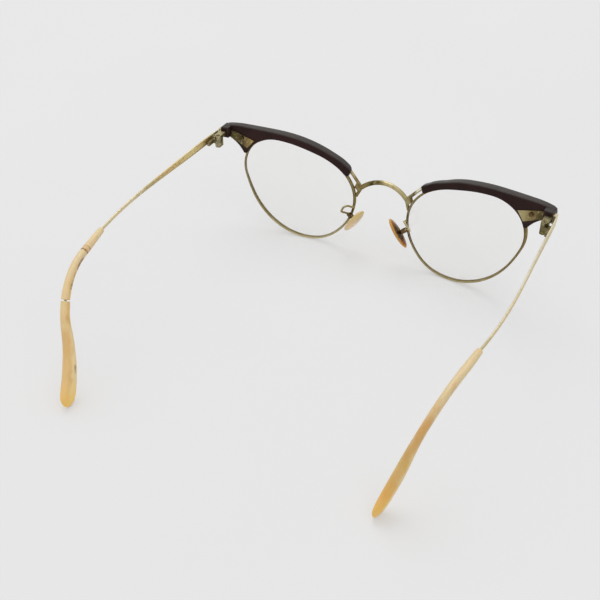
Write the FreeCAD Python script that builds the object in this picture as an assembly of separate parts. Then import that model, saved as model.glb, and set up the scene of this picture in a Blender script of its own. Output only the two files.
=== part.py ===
import FreeCAD, Part
import math
import os

os.makedirs("parts", exist_ok=True)

Vector = FreeCAD.Vector

# Browline spectacles, open and resting on a table on the two rims and the two ear tips.
# +X is the wearer's left, the fronts of the lenses face -Y, the temples run to +Y, +Z is up.
# The origin is on the table, in the middle of the footprint. All sizes are in millimetres.

# Lens openings, measured inside the metal rims.
LENS_WIDTH = 47.1
LENS_HEIGHT = 39.95
NOSE_GAP = 23.7
WRAP_ANGLE = 5.8
TILT_ANGLE = 7.27
FRONT_Y = -65.72
LENS_THICKNESS = 1.6
LENS_RADIUS = 130.0
LENS_FORWARD = 0.55
LENS_CLEARANCE = 0.03

# Outline of an opening, as shares of its half width and half height, temple side first.
LENS_SHAPE = (
    (0.976, 0.164),
    (0.991, 0.476),
    (0.882, 0.765),
    (0.66, 0.946),
    (0.404, 1.0),
    (-0.006, 0.947),
    (-0.337, 0.842),
    (-0.707, 0.642),
    (-0.987, 0.164),
    (-0.892, -0.449),
    (-0.51, -0.905),
    (0.015, -0.979),
    (0.464, -0.757),
    (0.778, -0.359),
)
ARC_TOLERANCE = 0.1

# Eyewire: a grooved metal strip with a split closing block at the temple side.
RIM_WALL = 0.75
RIM_DEPTH = 1.3
RIM_ROUND = 0.25
GROOVE_DEPTH = 0.35
GROOVE_WIDTH = 0.6
GROOVE_CLEARANCE = 0.05
BLOCK_REACH = 3.0
BLOCK_HEIGHT = 4.6
BLOCK_DEPTH = 2.0
SPLIT_GAP = 0.3

# Brow trim: a plastic bar with a channel that rides on the upper half of the eyewire.
BROW_HEIGHT = 3.2
BROW_LIP_SHOW = 0.25
BROW_FRONT_NASAL = 1.5
BROW_FRONT_MIDDLE = 2.1
BROW_FRONT_TEMPLE = 0.4
BROW_BACK_NASAL = 0.5
BROW_BACK_TEMPLE = 1.9
BROW_ROUND_FRONT = 1.0
BROW_ROUND_BACK = 0.6
WING_LENGTH = 9.5
WING_DROP = 7.6
NASAL_LONGER_LEFT = 1.2
NASAL_SHORTER_RIGHT = 1.0
RETURN_START = 6.2
RETURN_DEPTH = 2.9
RETURN_LOW = -1.5
RETURN_ROUND = 0.7
SEAT_CLEARANCE = 0.05

# End piece: a metal plate let into the back of the brow.
PLATE_INLAY = 0.5
PLATE_PROUD = 0.3
PLATE_LUG = 10.7
LUG_WIDTH = 1.1
LUG_RETURN = 1.8
LUG_LOW = -1.7
LUG_TOP = 1.5

# Hinge between end piece and temple, with a vertical screw.
HINGE_INSET = 2.3
HINGE_BACK = 13.5
HINGE_HEIGHT = 4.8
HINGE_BELOW = 3.3
KNUCKLE_RADIUS = 1.2
KNUCKLE_MIDDLE = 1.8
KNUCKLE_GAP = 0.05
KNUCKLE_ROOM = 0.2
HINGE_WEB_IN = 1.1
HINGE_WEB_OUT = 1.5
HINGE_ROOF = 1.4
HINGE_STRAP = 0.6
HINGE_LEAF = 5.0
LEAF_HEIGHT = 1.6
HINGE_SCREW_RADIUS = 0.5
HINGE_HEAD_RADIUS = 0.85
HINGE_HEAD_HEIGHT = 0.45
RUNNING_CLEARANCE = 0.05

# Small screws of the brow and of the closing block.
SCREW_RADIUS = 0.5
SCREW_HEAD_RADIUS = 0.85
SCREW_HEAD_HEIGHT = 0.5
SCREW_CLEARANCE = 0.03
SLOT_WIDTH = 0.3
SLOT_DEPTH = 0.22

# Temple: a bowed strip that narrows toward a core wire in the plastic ear tip.
TEMPLE_OUT = 10.2
TEMPLE_RISE = 20.2
TEMPLE_THICKNESS = 0.65
TEMPLE_LENGTH = 73.95
BUTT_GAP = 0.3
CORE_RADIUS = 0.42
CORE_SHORT = 6.0
TIP_SEAT_GAP = 0.12
LEFT_TIP_LENGTH = 68.0
RIGHT_TIP_LENGTH = 65.3
TIP_CORNER_RUN = 29.44
TIP_BEND_RADIUS = 23.0
TIP_CURL_RADIUS = 48.0
TIP_TURN_IN = 7.8
TIP_DROP_START = 5.0
LEFT_TIP_DROP_ANGLE = 71.15
LEFT_TIP_LEAN_IN = 42.4
RIGHT_TIP_DROP_ANGLE = 73.52
RIGHT_TIP_LEAN_IN = 58.9
TIP_BORE_CLEARANCE = 0.03
TIP_CRACK_SHARE = 0.18
TIP_CRACK_GAP = 0.15
TIP_BREAK_SHARE = 0.461
TIP_BREAK_GAP = 0.5

# Temple sections: share of the length, step sideways, height of the middle and full height.
TEMPLE_SECTIONS = (
    (0.0, 0.0, -0.4, 2.2),
    (0.235, 0.97, 0.0, 3.0),
    (0.5, 1.68, 0.0, 2.2),
    (0.71, 2.0, 0.0, 1.62),
    (0.86, 1.48, 0.0, 1.45),
    (1.0, 0.2, 0.0, 1.3),
)

# Ear tip sections: share of the length, height, thickness and how square the section is.
TIP_SECTIONS = (
    (0.0, 2.4, 2.2, 2.0),
    (0.03, 2.6, 2.5, 2.0),
    (0.12, 2.75, 2.7, 2.0),
    (0.3, 3.1, 2.65, 2.1),
    (0.515, 3.35, 2.65, 2.3),
    (0.696, 4.2, 3.5, 2.6),
    (0.834, 5.6, 3.7, 3.0),
    (0.924, 6.5, 3.2, 3.0),
    (1.0, 6.2, 2.5, 2.8),
)
TIP_ROUND_END = 3.4
TIP_STEP = 5.0
TIP_POINTS = 16

# Bridge: an arched wire with a fork at each end that holds rim and brow.
BRIDGE_HALF = 9.45
BRIDGE_RISE = 4.05
BRIDGE_LEAN = 16.0
BRIDGE_HEIGHT = 1.85
BRIDGE_DEPTH = 1.7
FORK_RADIUS = 0.65
BRAZE_GAP = 0.03

# Nose pads on wire arms.
PAD_LENGTH = 14.2
PAD_WIDTH = 6.9
PAD_THICKNESS = 2.5
PAD_SINK = 0.15
PAD_CENTRE = Vector(10.35, 5.1, 15.0)
PAD_AXIS = Vector(0.5, -0.15, -0.85)
PAD_FACE = Vector(-0.77, 0.33, -0.54)
CORE_PLATE_LENGTH = 5.2
CORE_PLATE_WIDTH = 2.6
CORE_PLATE_INLAY = 0.6
LUG_THICKNESS = 0.8
LUG_RADIUS = 0.65
PIN_OFFSET = 1.3
PIN_RADIUS = 0.3
CHEEK_GAP = 0.12
CHEEK_THICKNESS = 0.4
BOX_FLOOR = 0.45
ARM_RADIUS = 0.4

# Positions that follow from the sizes above.
LENS_MIDDLE = NOSE_GAP / 2 + LENS_WIDTH / 2
LENS_OUTER = NOSE_GAP / 2 + LENS_WIDTH
LENS_INNER = NOSE_GAP / 2
LENS_TOP = LENS_HEIGHT / 2
HALF_RIM = RIM_DEPTH / 2
SIDE = Vector(1, 0, 0)
BACK = Vector(0, 1, 0)
UP = Vector(0, 0, 1)


def lens_point(share_u, share_v):
    return Vector(LENS_MIDDLE + share_u * LENS_WIDTH / 2, 0, share_v * LENS_HEIGHT / 2)


LENS_CURVE = Part.BSplineCurve()
LENS_CURVE.interpolate(Points=[lens_point(u, v) for u, v in LENS_SHAPE], PeriodicFlag=True)


# The outline again as a chain of tangent arcs, which keeps its shape when it is grown.
LENS_ARCS = LENS_CURVE.toBiArcs(ARC_TOLERANCE)

# The lowest point of both rims stands on the table.
LENS_LOW = min(arc.toShape().BoundBox.ZMin for arc in LENS_ARCS)
TILT = math.radians(TILT_ANGLE)
RIM_FOOT = (HALF_RIM - RIM_ROUND) * math.sin(TILT) + RIM_ROUND - RIM_ROUND * math.cos(TILT)
EYE_Z = (RIM_WALL - LENS_LOW) * math.cos(TILT) + RIM_FOOT
TURN = FreeCAD.Rotation(Vector(0, 0, 1), WRAP_ANGLE)
LEAN = FreeCAD.Rotation(Vector(1, 0, 0), TILT_ANGLE)
EYE = FreeCAD.Placement(Vector(0, FRONT_Y, EYE_Z), TURN.multiply(LEAN))


def eye(u, w, v):
    """Point of the left eye plane: u from the nose, w backward, v up from the lens middle."""
    return EYE.multVec(Vector(u, w, v))


def in_place(shape):
    """Moves a shape drawn in eye coordinates to its place on the left side."""
    return shape.transformed(EYE.toMatrix(), True)


def mirrored(shape):
    return shape.mirror(Vector(0, 0, 0), SIDE)


def beside_lens(parameter, distance):
    """Point at a distance outside the opening's outline."""
    along = LENS_CURVE.tangent(parameter)[0]
    outward = Vector(along.z, 0, -along.x)
    return LENS_CURVE.value(parameter) + outward * distance


def grown_arc(arc, distance):
    """The same arc about the same centre with a larger radius."""
    first = arc.FirstParameter
    span = arc.LastParameter - first
    scale = 1 + distance / arc.Radius
    points = [arc.Center + (arc.value(first + span * i / 2) - arc.Center) * scale for i in range(3)]
    return Part.Arc(*points).toShape()


def lens_prism(distance, w_front, w_back):
    """Solid with the opening's outline grown by a distance, between two depths."""
    face = Part.Face(Part.Wire([grown_arc(arc, distance) for arc in LENS_ARCS]))
    face.translate(Vector(0, w_front, 0))
    return face.extrude(Vector(0, w_back - w_front, 0))


def depth_slab(front_inner, front_outer, back_inner, back_outer):
    """Space between two upright planes, each given by its depth at the nose and at the temple."""
    inner = 0.0
    outer = LENS_OUTER + 20.0
    corners = ((inner, front_inner), (outer, front_outer), (outer, back_outer), (inner, back_inner))
    wire = Part.makePolygon([Vector(u, w, -60) for u, w in corners + corners[:1]])
    return Part.Face(wire).extrude(UP * 120)


# Depths of the brow's back plane at the two ends of the slab.
SLAB_BACK_IN = HALF_RIM + BROW_BACK_NASAL
SLAB_BACK_OUT = HALF_RIM + BROW_BACK_TEMPLE


def brow_depth():
    """Space between the brow's bowed front and its flat back."""
    outer = LENS_OUTER + 20.0
    start = Vector(LENS_INNER - 4.0, -HALF_RIM - BROW_FRONT_NASAL, -60)
    middle = Vector(LENS_MIDDLE + 9.6, -HALF_RIM - BROW_FRONT_MIDDLE, -60)
    end = Vector(LENS_OUTER + 12.0, -HALF_RIM - BROW_FRONT_TEMPLE, -60)
    back_end = Vector(end.x, SLAB_BACK_IN + (SLAB_BACK_OUT - SLAB_BACK_IN) * end.x / outer, -60)
    back_start = Vector(start.x, SLAB_BACK_IN + (SLAB_BACK_OUT - SLAB_BACK_IN) * start.x / outer, -60)
    edges = [
        Part.Arc(start, middle, end).toShape(),
        Part.makeLine(end, back_end),
        Part.makeLine(back_end, back_start),
        Part.makeLine(back_start, start),
    ]
    return Part.Face(Part.Wire(edges)).extrude(UP * 120)


# Screw places in the eye plane.
CLOSING_U = LENS_OUTER - 0.2
BLOCK_LOW = LENS_TOP - BLOCK_HEIGHT
SPLIT_V = BLOCK_LOW + BLOCK_HEIGHT * 0.4
BROW_SCREW = Vector(LENS_OUTER + 1.3, 0, SPLIT_V + 1.25)


def brow_back(u):
    share = u / (LENS_OUTER + 20.0)
    return SLAB_BACK_IN + (SLAB_BACK_OUT - SLAB_BACK_IN) * share


def round_edges(shape, radius, chosen):
    return shape.makeFillet(radius, chosen)


def slot_cut(head_top, along, across, radius):
    """Straight driver slot across a screw head; along is the axis out of the head."""
    slot = Part.makeBox(3 * radius, SLOT_WIDTH, SLOT_DEPTH)
    slot.translate(Vector(-1.5 * radius, -SLOT_WIDTH / 2, -SLOT_DEPTH))
    turn = FreeCAD.Rotation(across, along.cross(across), along, "ZXY")
    slot.Placement = FreeCAD.Placement(head_top, turn).multiply(slot.Placement)
    return slot


def eyewire():
    ring = lens_prism(RIM_WALL, -HALF_RIM, HALF_RIM)
    ring = round_edges(ring, RIM_ROUND, [e for e in ring.Edges if e.BoundBox.YLength < HALF_RIM])
    corner = Vector(LENS_OUTER - 5.0, -BLOCK_DEPTH / 2, BLOCK_LOW)
    ring = ring.fuse(Part.makeBox(5.0 + BLOCK_REACH, BLOCK_DEPTH, BLOCK_HEIGHT, corner))
    ring = ring.cut(lens_prism(0, -5, 5))
    ring = ring.cut(lens_prism(GROOVE_DEPTH, -GROOVE_WIDTH / 2, GROOVE_WIDTH / 2))
    corner = Vector(LENS_OUTER - 12.0, -5, SPLIT_V - SPLIT_GAP / 2)
    ring = ring.cut(Part.makeBox(20.0, 10, SPLIT_GAP, corner))
    hole = SCREW_RADIUS + SCREW_CLEARANCE
    ring = ring.cut(Part.makeCylinder(hole, 20, Vector(CLOSING_U, 0, 0), UP))
    ring = ring.cut(Part.makeCylinder(hole, 10, BROW_SCREW - BACK * 5, BACK))
    return ring


def closing_screw():
    low = Vector(CLOSING_U, 0, BLOCK_LOW - SCREW_HEAD_HEIGHT)
    screw = Part.makeCylinder(SCREW_HEAD_RADIUS, SCREW_HEAD_HEIGHT, low, UP)
    screw = screw.fuse(Part.makeCylinder(SCREW_RADIUS, SCREW_HEAD_HEIGHT + BLOCK_HEIGHT - 0.3, low, UP))
    return screw.cut(slot_cut(low, UP * -1, SIDE, SCREW_HEAD_RADIUS))


def lens_dome(radius, centre):
    """Patch of a ball about a centre, bulging to the front, with the ball's poles far off."""
    lean = math.asin(LENS_WIDTH / radius)
    tall = UP * (radius * math.sin(lean))
    brim = centre - BACK * (radius * math.cos(lean))
    inside = centre - BACK * (radius * math.cos(lean) / 2)
    edges = [
        Part.Arc(brim - tall, centre - BACK * radius, brim + tall).toShape(),
        Part.makeLine(brim + tall, inside + tall),
        Part.makeLine(inside + tall, inside - tall),
        Part.makeLine(inside - tall, brim - tall),
    ]
    face = Part.Face(Part.Wire(edges))
    face.rotate(centre, UP, -math.degrees(lean))
    return face.revolve(centre, UP, 2 * math.degrees(lean))


def lens():
    """Curved lens with a tongue round its edge that sits in the rim's groove."""
    tongue = GROOVE_WIDTH / 2 - GROOVE_CLEARANCE
    edge = lens_prism(-LENS_CLEARANCE, -8, 5).fuse(lens_prism(GROOVE_DEPTH - GROOVE_CLEARANCE, -tongue, tongue))
    sag = (LENS_WIDTH / 2) ** 2 / (2 * LENS_RADIUS)
    centre = Vector(LENS_MIDDLE, LENS_RADIUS - sag - LENS_FORWARD, 0)
    return edge.common(lens_dome(LENS_RADIUS, centre)).cut(lens_dome(LENS_RADIUS - LENS_THICKNESS, centre))


# Nose end of the brow: a slanting cut across the trim.
NASAL_START = LENS_CURVE.parameter(lens_point(-0.83, 0.53))
NASAL_CUT = Vector(-0.36, 0, 0.93)


def brow_blank(longer):
    """Outline of the trim, made longer at its nose end, as a thick slab."""
    nasal_end = LENS_CURVE.value(LENS_CURVE.parameterAtDistance(longer, NASAL_START))
    low_end = nasal_end - NASAL_CUT * 2.4
    top_end = nasal_end + NASAL_CUT * (BROW_HEIGHT + 1.0)
    upper = [top_end]
    for share_u, share_v in LENS_SHAPE[7:3:-1]:
        upper.append(beside_lens(LENS_CURVE.parameter(lens_point(share_u, share_v)), BROW_HEIGHT))
    top = LENS_TOP + BROW_HEIGHT
    upper.append(Vector(LENS_OUTER - 4.2, 0, top + 0.2))
    upper.append(Vector(LENS_OUTER + WING_LENGTH - 6.5, 0, top + 0.25))
    upper.append(Vector(LENS_OUTER + WING_LENGTH - 1.4, 0, top - 0.3))
    ridge = Part.BSplineCurve()
    ridge.interpolate(upper)
    outer_low = Vector(LENS_OUTER + WING_LENGTH - 1.4, 0, LENS_TOP - 1.6)
    outer_mid = Vector(LENS_OUTER + WING_LENGTH, 0, (top + LENS_TOP) / 2 - 0.3)
    wing_mid = Vector(LENS_OUTER + WING_LENGTH * 0.44, 0, LENS_TOP - WING_DROP * 0.48)
    wing_low = Vector(LENS_OUTER + 0.6, 0, LENS_TOP - WING_DROP)
    inside_outer = Vector(LENS_MIDDLE + LENS_WIDTH * 0.3, 0, LENS_TOP - WING_DROP - 0.6)
    inside_inner = Vector(LENS_MIDDLE - LENS_WIDTH * 0.28, 0, LENS_TOP * 0.3)
    edges = [
        Part.Arc(upper[-1], outer_mid, outer_low).toShape(),
        Part.Arc(outer_low, wing_mid, wing_low).toShape(),
        Part.makeLine(wing_low, inside_outer),
        Part.makeLine(inside_outer, inside_inner),
        Part.makeLine(inside_inner, low_end),
        Part.makeLine(low_end, top_end),
    ]
    edges = [arc.toShape() for arc in ridge.toBiArcs(ARC_TOLERANCE)] + edges
    face = Part.Face(Part.Wire(Part.__sortEdges__(edges)))
    face.translate(BACK * -8)
    return face.extrude(BACK * 16)


def brow_return():
    """Block at the brow's outer end that wraps back round the hinge's roof."""
    low = LENS_TOP + RETURN_LOW
    top = LENS_TOP + BROW_HEIGHT - 0.35
    back = brow_back(LENS_OUTER + WING_LENGTH) + RETURN_DEPTH
    corner = Vector(LENS_OUTER + RETURN_START, 0, low)
    block = Part.makeBox(WING_LENGTH - RETURN_START, back, top - low, corner)
    rounded = []
    for edge in block.Edges:
        middle = edge.CenterOfMass
        at_back = abs(middle.y - back) < 1e-6
        at_outer_top = abs(middle.z - top) < 1e-6 and middle.x > LENS_OUTER + WING_LENGTH - 1e-6
        if at_back or at_outer_top:
            rounded.append(edge)
    return round_edges(block, RETURN_ROUND, rounded)


def brow(longer):
    trim = brow_blank(longer).common(brow_depth())
    front_edges = []
    back_edges = []
    for edge in trim.Edges:
        middle = edge.valueAt((edge.FirstParameter + edge.LastParameter) / 2)
        start = edge.valueAt(edge.FirstParameter)
        if edge.Curve.TypeId == "Part::GeomLine":
            continue
        if start.y > 0 and middle.y > 0:
            back_edges.append(edge)
        if start.y < 0 and middle.y < 0:
            front_edges.append(edge)
    trim = round_edges(trim, BROW_ROUND_FRONT, front_edges)
    back_edges = [e for e in trim.Edges if any(same_edge(e, b) for b in back_edges)]
    trim = round_edges(trim, BROW_ROUND_BACK, back_edges)
    trim = trim.fuse(brow_return())
    trim = trim.cut(lens_prism(BROW_LIP_SHOW, -10, 10))
    channel = HALF_RIM + SEAT_CLEARANCE
    trim = trim.cut(lens_prism(RIM_WALL + SEAT_CLEARANCE, -channel, channel))
    room = 2 * SEAT_CLEARANCE
    corner = Vector(LENS_OUTER - 5.0 - room, -BLOCK_DEPTH / 2 - room, BLOCK_LOW - room)
    sizes = (5.0 + BLOCK_REACH + 2 * room, BLOCK_DEPTH + 2 * room, BLOCK_HEIGHT + 2 * room)
    trim = trim.cut(Part.makeBox(*sizes, corner))
    access = SCREW_HEAD_RADIUS + 2 * SEAT_CLEARANCE
    trim = trim.cut(Part.makeCylinder(access, 12, Vector(CLOSING_U, 0, BLOCK_LOW - 11), UP))
    trim = trim.cut(plate_blank(SEAT_CLEARANCE, PLATE_INLAY + SEAT_CLEARANCE))
    hole = SCREW_RADIUS + SCREW_CLEARANCE
    trim = trim.cut(Part.makeCylinder(hole, 10, BROW_SCREW, BACK))
    trim = trim.cut(fork_arm(SEAT_CLEARANCE))
    return in_place(trim).cut(hinge_stem(SEAT_CLEARANCE))


def same_edge(first, second):
    a = first.valueAt((first.FirstParameter + first.LastParameter) / 2)
    b = second.valueAt((second.FirstParameter + second.LastParameter) / 2)
    return a.distanceToPoint(b) < 0.6 and abs(first.Length - second.Length) < 2.5


def back_slab(front, back):
    """Space between two depths that are measured from the brow's back."""
    return depth_slab(SLAB_BACK_IN + front, SLAB_BACK_OUT + front, SLAB_BACK_IN + back, SLAB_BACK_OUT + back)


def plate_blank(grow, inlay):
    """End piece plate, or with grow its recess in the brow."""
    lug = LENS_OUTER + PLATE_LUG + grow
    corners = (
        (LENS_OUTER - 4.0 - grow, LENS_TOP - 1.75),
        (LENS_OUTER - 1.2 - grow, LENS_TOP - 5.3 - grow),
        (LENS_OUTER + 7.3, LENS_TOP - 1.3 - grow),
        (lug, LENS_TOP + LUG_LOW - grow),
        (lug, LENS_TOP + LUG_TOP + grow),
        (LENS_OUTER + 7.8, LENS_TOP + 1.3 + grow),
        (LENS_OUTER + 4.4, LENS_TOP + 0.9 + grow),
    )
    wire = Part.makePolygon([Vector(u, -8, v) for u, v in corners + corners[:1]])
    plate = Part.Face(wire).extrude(BACK * 20)
    return plate.common(back_slab(-inlay, PLATE_PROUD))


def end_piece():
    """Plate with a return at its outer end, which the temple butts against."""
    plate = plate_blank(0, PLATE_INLAY).cut(lens_prism(BROW_LIP_SHOW, -10, 10))
    edge = LENS_OUTER + PLATE_LUG
    corner = Vector(edge - LUG_WIDTH, -8, LENS_TOP + LUG_LOW)
    lug = Part.makeBox(LUG_WIDTH, 20, LUG_TOP - LUG_LOW, corner)
    plate = plate.fuse(lug.common(back_slab(0, PLATE_PROUD + LUG_RETURN)))
    hole = SCREW_RADIUS + SCREW_CLEARANCE
    plate = plate.cut(Part.makeCylinder(hole, 20, BROW_SCREW - BACK * 5, BACK))
    return plate


def brow_screw():
    top = brow_back(BROW_SCREW.x) + PLATE_PROUD + 0.02
    length = top + BLOCK_DEPTH / 2 - 0.2
    screw = Part.makeCylinder(SCREW_RADIUS, length, BROW_SCREW + BACK * (top - length), BACK)
    head = Part.makeCylinder(SCREW_HEAD_RADIUS, SCREW_HEAD_HEIGHT, BROW_SCREW + BACK * top, BACK)
    head_top = BROW_SCREW + BACK * (top + SCREW_HEAD_HEIGHT)
    return screw.fuse(head).cut(slot_cut(head_top, BACK, Vector(0.8, 0, 0.6), SCREW_HEAD_RADIUS))


# Temple and hinge places in the row frame.
TEMPLE_X = eye(LENS_OUTER + TEMPLE_OUT, 0, 0).x
TEMPLE_Z = EYE_Z + TEMPLE_RISE
HINGE_X = TEMPLE_X - HINGE_INSET
HINGE_Y = FRONT_Y + HINGE_BACK
HINGE_LOW = TEMPLE_Z - HINGE_BELOW
HINGE_TOP = HINGE_LOW + HINGE_HEIGHT
MIDDLE_LOW = HINGE_LOW + (HINGE_HEIGHT - KNUCKLE_MIDDLE) / 2
MIDDLE_TOP = MIDDLE_LOW + KNUCKLE_MIDDLE


def front_of_plate(extra):
    """Everything in front of the end piece's back face, moved back by extra."""
    w_in = SLAB_BACK_IN + PLATE_PROUD + extra
    w_out = SLAB_BACK_OUT + PLATE_PROUD + extra
    return in_place(depth_slab(-40, -40, w_in, w_out))


def upright(radius, low, top):
    return Part.makeCylinder(radius, top - low, Vector(HINGE_X, HINGE_Y, low), UP)


def hinge_stem(grow):
    """Roof and strap of the front hinge, or with grow their room in the brow."""
    strap = KNUCKLE_RADIUS + KNUCKLE_ROOM + HINGE_STRAP
    left = HINGE_X - HINGE_WEB_IN - grow
    web = HINGE_WEB_IN + HINGE_WEB_OUT + 2 * grow
    low = HINGE_TOP - HINGE_ROOF - grow
    roof = Part.makeBox(web, 14, HINGE_ROOF + 2 * grow, Vector(left, HINGE_Y - 14, low))
    post_corner = Vector(left, HINGE_Y - strap - grow, HINGE_LOW - grow)
    post = Part.makeBox(web, strap + grow, HINGE_HEIGHT + 2 * grow, post_corner)
    return roof.fuse(post).cut(front_of_plate(-grow))


def front_hinge():
    """Two knuckles on a strap, hung from a short roof that stands on the end piece."""
    hinge = hinge_stem(0)
    hinge = hinge.fuse(upright(KNUCKLE_RADIUS, HINGE_LOW, HINGE_TOP))
    room = KNUCKLE_RADIUS + KNUCKLE_ROOM
    hinge = hinge.cut(upright(room, MIDDLE_LOW, MIDDLE_TOP))
    corner = Vector(HINGE_X, HINGE_Y - room, MIDDLE_LOW)
    hinge = hinge.cut(Part.makeBox(2 * HINGE_INSET, 2 * room, KNUCKLE_MIDDLE, corner))
    hinge = hinge.cut(upright(HINGE_SCREW_RADIUS + SCREW_CLEARANCE, HINGE_LOW - 1, HINGE_TOP + 1))
    head = HINGE_HEAD_RADIUS + SCREW_CLEARANCE
    hinge = hinge.cut(upright(head, HINGE_TOP - HINGE_HEAD_HEIGHT, HINGE_TOP + 1))
    return hinge.cut(in_place(end_piece()))


def hinge_screw():
    screw = upright(HINGE_SCREW_RADIUS, HINGE_LOW, HINGE_TOP - HINGE_HEAD_HEIGHT / 2)
    screw = screw.fuse(upright(HINGE_HEAD_RADIUS, HINGE_TOP - HINGE_HEAD_HEIGHT + 0.02, HINGE_TOP))
    return screw.cut(slot_cut(Vector(HINGE_X, HINGE_Y, HINGE_TOP), UP, Vector(0.6, 0.8, 0), HINGE_HEAD_RADIUS))


TEMPLE_START_Y = FRONT_Y + 2.0
TEMPLE_END_Y = HINGE_Y + TEMPLE_LENGTH


def temple_section(share, step, middle, height):
    """Upright section with round edges across the temple strip."""
    length = TEMPLE_END_Y - TIP_SEAT_GAP - TEMPLE_START_Y
    centre = Vector(TEMPLE_X + step, TEMPLE_START_Y + length * share, TEMPLE_Z + middle)
    half = TEMPLE_THICKNESS / 2
    out = SIDE * half
    top = centre + UP * (height / 2 - half)
    low = centre - UP * (height / 2 - half)
    return Part.Wire([
        Part.makeLine(low + out, top + out),
        Part.Arc(top + out, top + UP * half, top - out).toShape(),
        Part.makeLine(top - out, low - out),
        Part.Arc(low - out, low - UP * half, low + out).toShape(),
    ])


TEMPLE_END = Vector(TEMPLE_X + TEMPLE_SECTIONS[-1][1], TEMPLE_END_Y, TEMPLE_Z)


def temple_strip():
    strip = Part.makeLoft([temple_section(*row) for row in TEMPLE_SECTIONS], True, False)
    return strip.cut(front_of_plate(LUG_RETURN + BUTT_GAP))


class EarTip:
    """Centre line of an ear tip: a run in line with the temple, a bend down and a curl back."""

    def __init__(self, length, drop_angle, lean_in):
        turn_in = math.radians(TIP_TURN_IN)
        start_drop = math.radians(TIP_DROP_START)
        drop = math.radians(drop_angle)
        lean = math.radians(lean_in)
        self.length = length
        self.first = Vector(-math.sin(turn_in), math.cos(turn_in), -math.sin(start_drop)).normalize()
        flat = math.cos(drop)
        self.second = Vector(-flat * math.sin(lean), flat * math.cos(lean), -math.sin(drop))
        self.turn = self.first.getAngle(self.second)
        tangent = TIP_BEND_RADIUS * math.tan(self.turn / 2)
        corner = TEMPLE_END + self.first * TIP_CORNER_RUN
        self.axis = self.first.cross(self.second).normalize()
        self.run = TIP_CORNER_RUN - tangent
        self.bend_start = corner - self.first * tangent
        self.bend_in = self.axis.cross(self.first)
        self.bend_centre = self.bend_start + self.bend_in * TIP_BEND_RADIUS
        self.curl_start = self.run + TIP_BEND_RADIUS * self.turn
        self.bend_end = corner + self.second * tangent
        self.curl_out = self.second.cross(self.axis)
        self.curl_centre = self.bend_end + self.curl_out * TIP_CURL_RADIUS

    def place(self, distance):
        """Point and direction of the centre line at a distance from its start."""
        if distance <= self.run:
            return TEMPLE_END + self.first * distance, self.first
        if distance <= self.curl_start:
            turn = FreeCAD.Rotation(self.axis, math.degrees((distance - self.run) / TIP_BEND_RADIUS))
            return self.bend_centre - turn.multVec(self.bend_in) * TIP_BEND_RADIUS, turn.multVec(self.first)
        turn = FreeCAD.Rotation(self.axis, -math.degrees((distance - self.curl_start) / TIP_CURL_RADIUS))
        return self.curl_centre - turn.multVec(self.curl_out) * TIP_CURL_RADIUS, turn.multVec(self.second)

    def size(self, distance):
        """Height, thickness and squareness at a distance from the start."""
        at = distance / self.length
        sizes = TIP_SECTIONS[-1][1:]
        for low, high in zip(TIP_SECTIONS, TIP_SECTIONS[1:]):
            if low[0] <= at <= high[0]:
                share = (at - low[0]) / (high[0] - low[0])
                sizes = [a + (b - a) * share for a, b in zip(low[1:], high[1:])]
                break
        height, thickness, square = sizes
        left = self.length - distance
        if left < TIP_ROUND_END:
            shrink = math.sqrt(max(1 - (1 - left / TIP_ROUND_END) ** 2, 0.06))
            height = height * shrink
            thickness = thickness * shrink
        return height, thickness, square

    def section(self, distance):
        """Closed outline across the tip, between an ellipse and a rounded box."""
        point, direction = self.place(distance)
        height, thickness, square = self.size(distance)
        across = direction.cross(self.axis).normalize()
        points = []
        for i in range(int(TIP_POINTS)):
            angle = 2 * math.pi * i / int(TIP_POINTS)
            tall = math.copysign(abs(math.cos(angle)) ** (2 / square), math.cos(angle)) * height / 2
            deep = math.copysign(abs(math.sin(angle)) ** (2 / square), math.sin(angle)) * thickness / 2
            points.append(point + across * tall + self.axis * deep)
        curve = Part.BSplineCurve()
        curve.interpolate(Points=points, PeriodicFlag=True)
        return Part.Wire([curve.toShape()])

    def piece(self, start, end):
        """Stretch of the tip between two distances, bored for the core wire."""
        last = self.length - TIP_ROUND_END if end == self.length else end
        count = max(2, round((last - start) / TIP_STEP))
        stations = [start + (last - start) * i / count for i in range(count + 1)]
        if end == self.length:
            stations += [end - TIP_ROUND_END * share for share in (0.5, 0.15, 0.0)]
        piece = Part.makeLoft([self.section(s) for s in stations], True, False)
        return piece.cut(self.core(CORE_RADIUS + TIP_BORE_CLEARANCE, TIP_SEAT_GAP, TIP_BORE_CLEARANCE))

    def core(self, radius, before, after):
        """Wire along the centre line; it stops short of the tip's end."""
        curl = (self.length - CORE_SHORT + after - self.curl_start) / TIP_CURL_RADIUS
        straight = rod(TEMPLE_END - self.first * before, self.bend_start, radius)
        bend = bent_rod(self.bend_start, self.bend_centre, self.axis, self.turn, radius)
        tail = bent_rod(self.bend_end, self.curl_centre, self.axis * -1, curl, radius)
        return straight.multiFuse([bend, tail])


LEFT_TIP = EarTip(LEFT_TIP_LENGTH, LEFT_TIP_DROP_ANGLE, LEFT_TIP_LEAN_IN)
RIGHT_TIP = EarTip(RIGHT_TIP_LENGTH, RIGHT_TIP_DROP_ANGLE, RIGHT_TIP_LEAN_IN)


def bent_rod(start, centre, axis, turn, radius):
    """Round wire bent about a centre; the turn is in radians."""
    along = axis.cross(start - centre).normalize()
    profile = Part.Face(Part.Wire([Part.makeCircle(radius, start, along)]))
    return profile.revolve(centre, axis, math.degrees(turn))


def rod(start, end, radius):
    return Part.makeCylinder(radius, start.distanceToPoint(end), start, end - start)


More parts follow.
